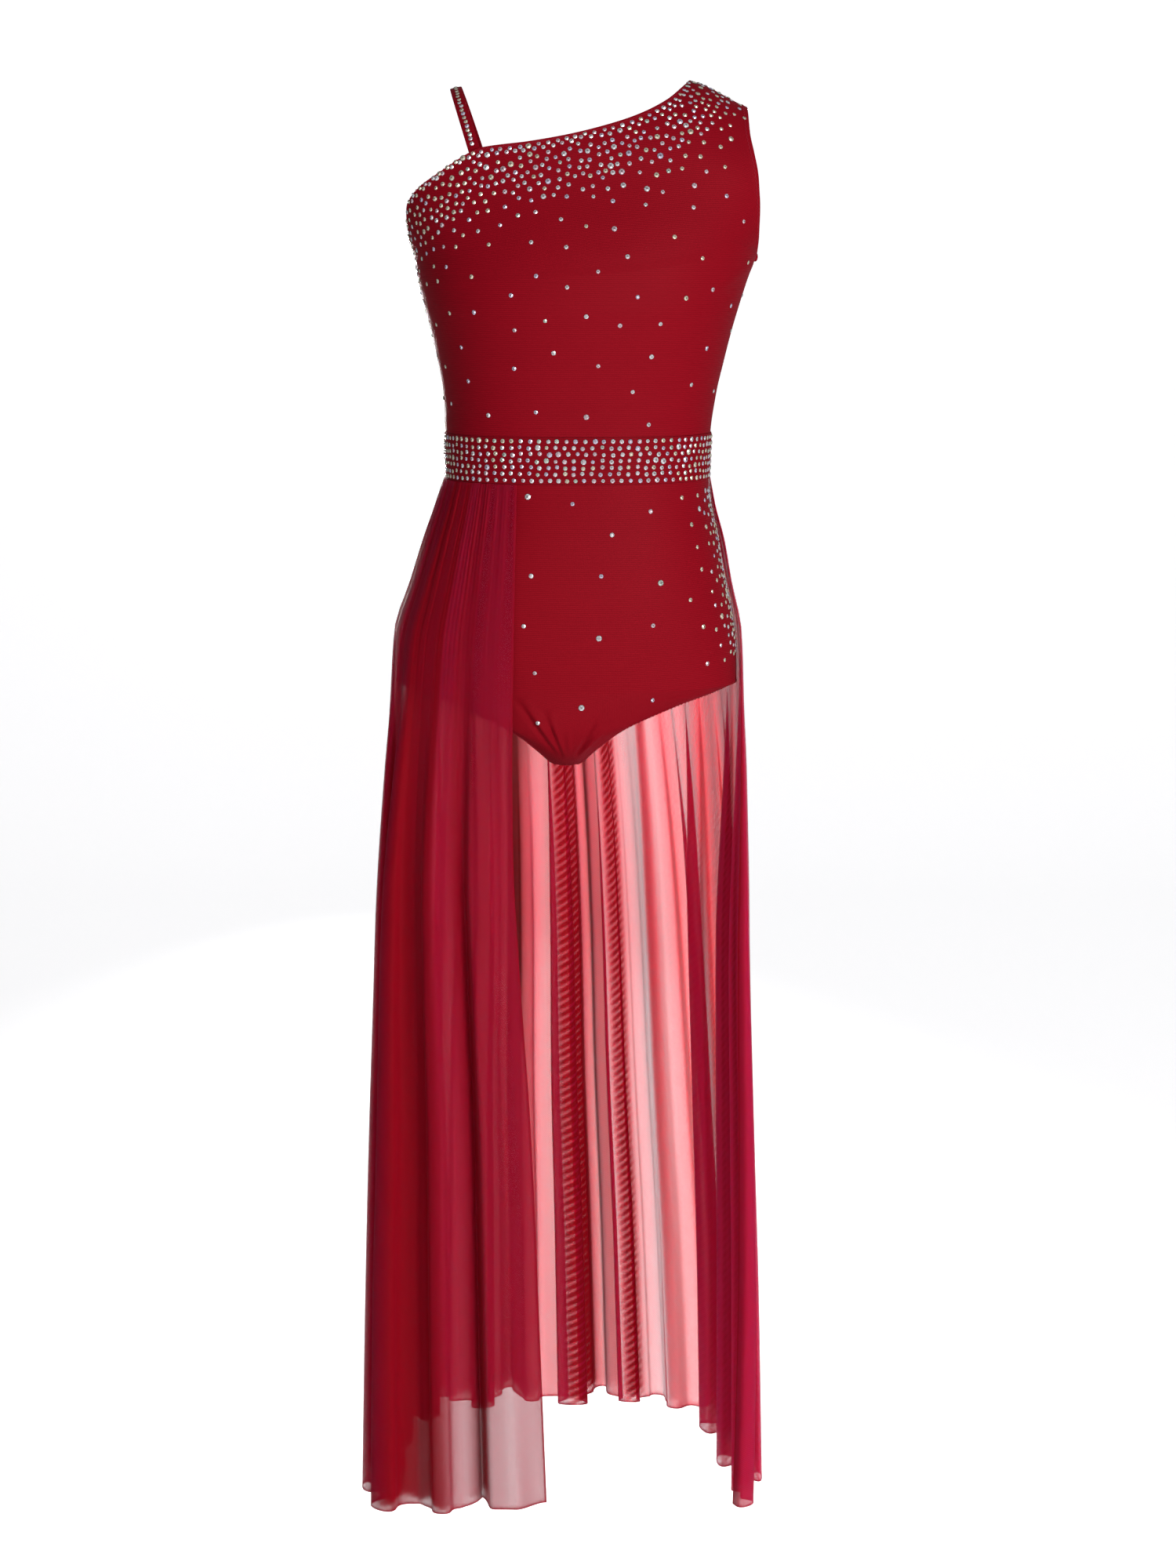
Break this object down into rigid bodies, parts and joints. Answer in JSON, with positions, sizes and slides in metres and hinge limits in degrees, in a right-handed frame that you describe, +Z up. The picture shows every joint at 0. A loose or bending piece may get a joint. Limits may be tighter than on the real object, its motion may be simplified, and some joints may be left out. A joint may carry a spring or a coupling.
{
  "type": "dance dress",
  "caption": "One-shoulder stretch leotard with a jewelled waistband and a long sheer mesh skirt open at the front, in its worn, hollow form.",
  "frame": {"origin": "on the body's axis, level with the neck end of the shoulder seam", "axes": "+Z up along the body, +Y from the chest towards the back, +X to the right of a person who faces the front"},
  "size_m": [0.3954, 0.3345, 1.356],
  "materials": {
    "stretch_knit": "fine ribbed stretch knit with a soft satin sheen",
    "waistband_knit": "doubled stretch knit set with small clear stones",
    "sheer_mesh": "sheer stretch mesh, darker where it lies in layers"
  },
  "bodies": {
    "root": {"bodice_front": "stretch_knit", "bodice_back": "stretch_knit", "shoulder_strap": "stretch_knit", "waistband_front": "waistband_knit", "waistband_back": "waistband_knit", "brief_front": "stretch_knit", "brief_back": "stretch_knit", "skirt_front": "sheer_mesh", "skirt_back": "sheer_mesh"}
  },
  "joints": []
}
